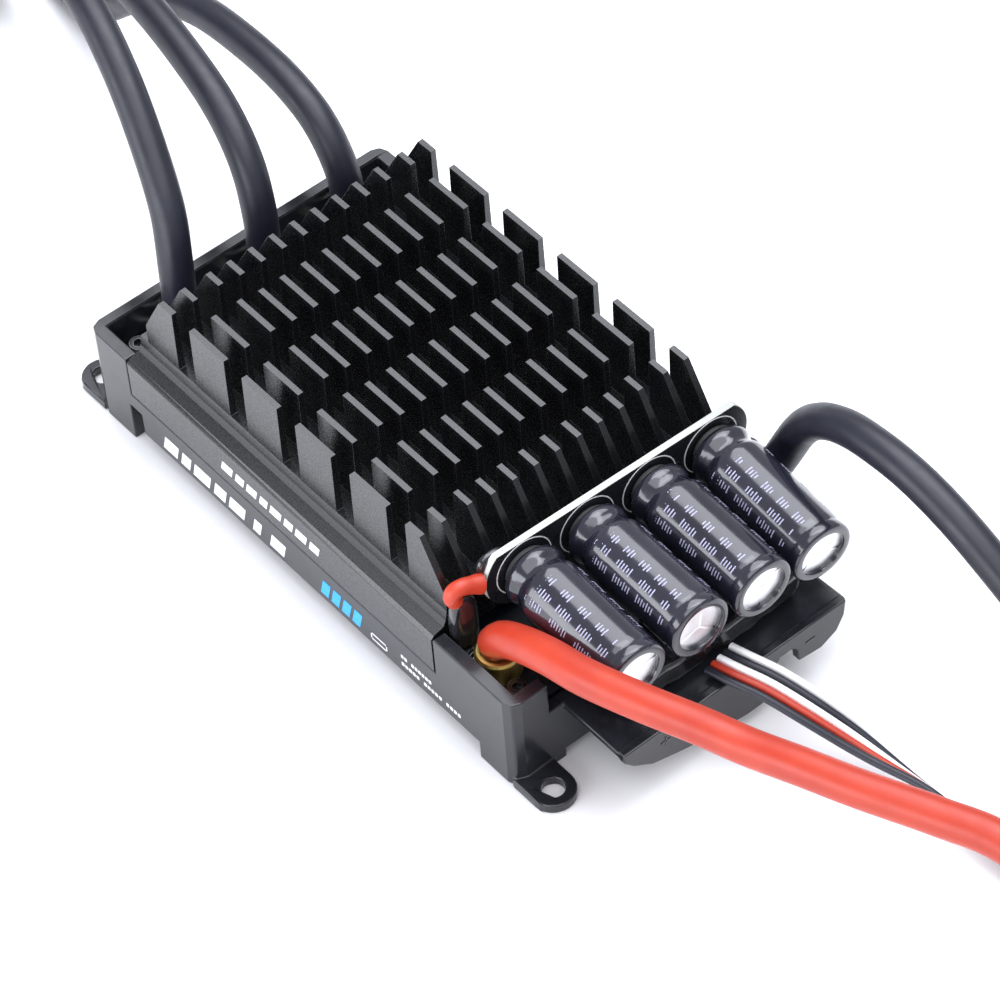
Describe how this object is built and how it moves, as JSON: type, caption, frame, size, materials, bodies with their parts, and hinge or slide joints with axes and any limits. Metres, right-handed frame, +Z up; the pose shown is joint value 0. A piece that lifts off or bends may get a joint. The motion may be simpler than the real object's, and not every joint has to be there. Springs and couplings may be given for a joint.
{
  "type": "electronic speed controller",
  "caption": "Brushless motor speed controller: open black moulded case with mounting ears, slotted fin heatsink, row of capacitors, thick motor and battery leads, thin signal ribbon.",
  "frame": {"origin": "on the surface the controller stands on, under the centre of its case, ears and capacitor tray, with the free leads left out", "axes": "+X along the case towards the battery leads and capacitors, +Y across the case, +Z up from the mounting face through the heatsink fins"},
  "size_m": [0.3522, 0.0786, 0.0552],
  "materials": {
    "case_plastic": "satin",
    "anodised_aluminium": "satin black anodised",
    "thermal_pad_blue": "matt",
    "circuit_board_black": "black solder mask",
    "chip_epoxy": "matt",
    "capacitor_sleeve": "glossy shrink sleeve",
    "rubber_bung": "matt",
    "steel_black_oxide": "black oxide",
    "gold_plate": "polished",
    "tinned_copper": "tinned strands",
    "silicone_black": "satin",
    "silicone_red": "satin",
    "silicone_white": "satin",
    "sealing_compound": "glossy cured compound",
    "connector_plastic": "satin"
  },
  "bodies": {
    "root": {"battery_wire_black": "silicone_black", "battery_wire_black_tip": "tinned_copper", "battery_wire_red": "silicone_red", "battery_wire_red_tip": "tinned_copper", "board_header": "connector_plastic", "board_screw_1": "steel_black_oxide", "board_screw_2": "steel_black_oxide", "board_screw_3": "steel_black_oxide", "board_screw_4": "steel_black_oxide", "capacitor_1": "capacitor_sleeve", "capacitor_2": "capacitor_sleeve", "capacitor_3": "capacitor_sleeve", "capacitor_4": "capacitor_sleeve", "capacitor_board": "circuit_board_black", "capacitor_bung_1": "rubber_bung", "capacitor_bung_2": "rubber_bung", "capacitor_bung_3": "rubber_bung", "capacitor_bung_4": "rubber_bung", "case_body": "case_plastic", "control_board": "circuit_board_black", "gate_driver_1": "chip_epoxy", "gate_driver_2": "chip_epoxy", "gate_driver_3": "chip_epoxy", "heatsink": "anodised_aluminium", "link_wire_black": "silicone_black", "link_wire_red": "silicone_red", "microcontroller": "chip_epoxy", "mosfet_01": "chip_epoxy", "mosfet_02": "chip_epoxy", "mosfet_03": "chip_epoxy", "mosfet_04": "chip_epoxy", "mosfet_05": "chip_epoxy", "mosfet_06": "chip_epoxy", "mosfet_07": "chip_epoxy", "mosfet_08": "chip_epoxy", "mosfet_09": "chip_epoxy", "mosfet_10": "chip_epoxy", "mosfet_11": "chip_epoxy", "mosfet_12": "chip_epoxy", "motor_wire_a": "silicone_black", "motor_wire_a_tip": "tinned_copper", "motor_wire_b": "silicone_black", "motor_wire_b_tip": "tinned_copper", "motor_wire_c": "silicone_black", "motor_wire_c_tip": "tinned_copper", "negative_terminal": "gold_plate", "positive_terminal": "gold_plate", "power_board": "circuit_board_black", "sealing_bead": "sealing_compound", "sealing_mound": "sealing_compound", "signal_plug_a": "connector_plastic", "signal_plug_b": "connector_plastic", "signal_wire_black_a": "silicone_black", "signal_wire_black_b": "silicone_black", "signal_wire_red": "silicone_red", "signal_wire_white_a": "silicone_white", "signal_wire_white_b": "silicone_white", "thermal_pad": "thermal_pad_blue"}
  },
  "joints": []
}
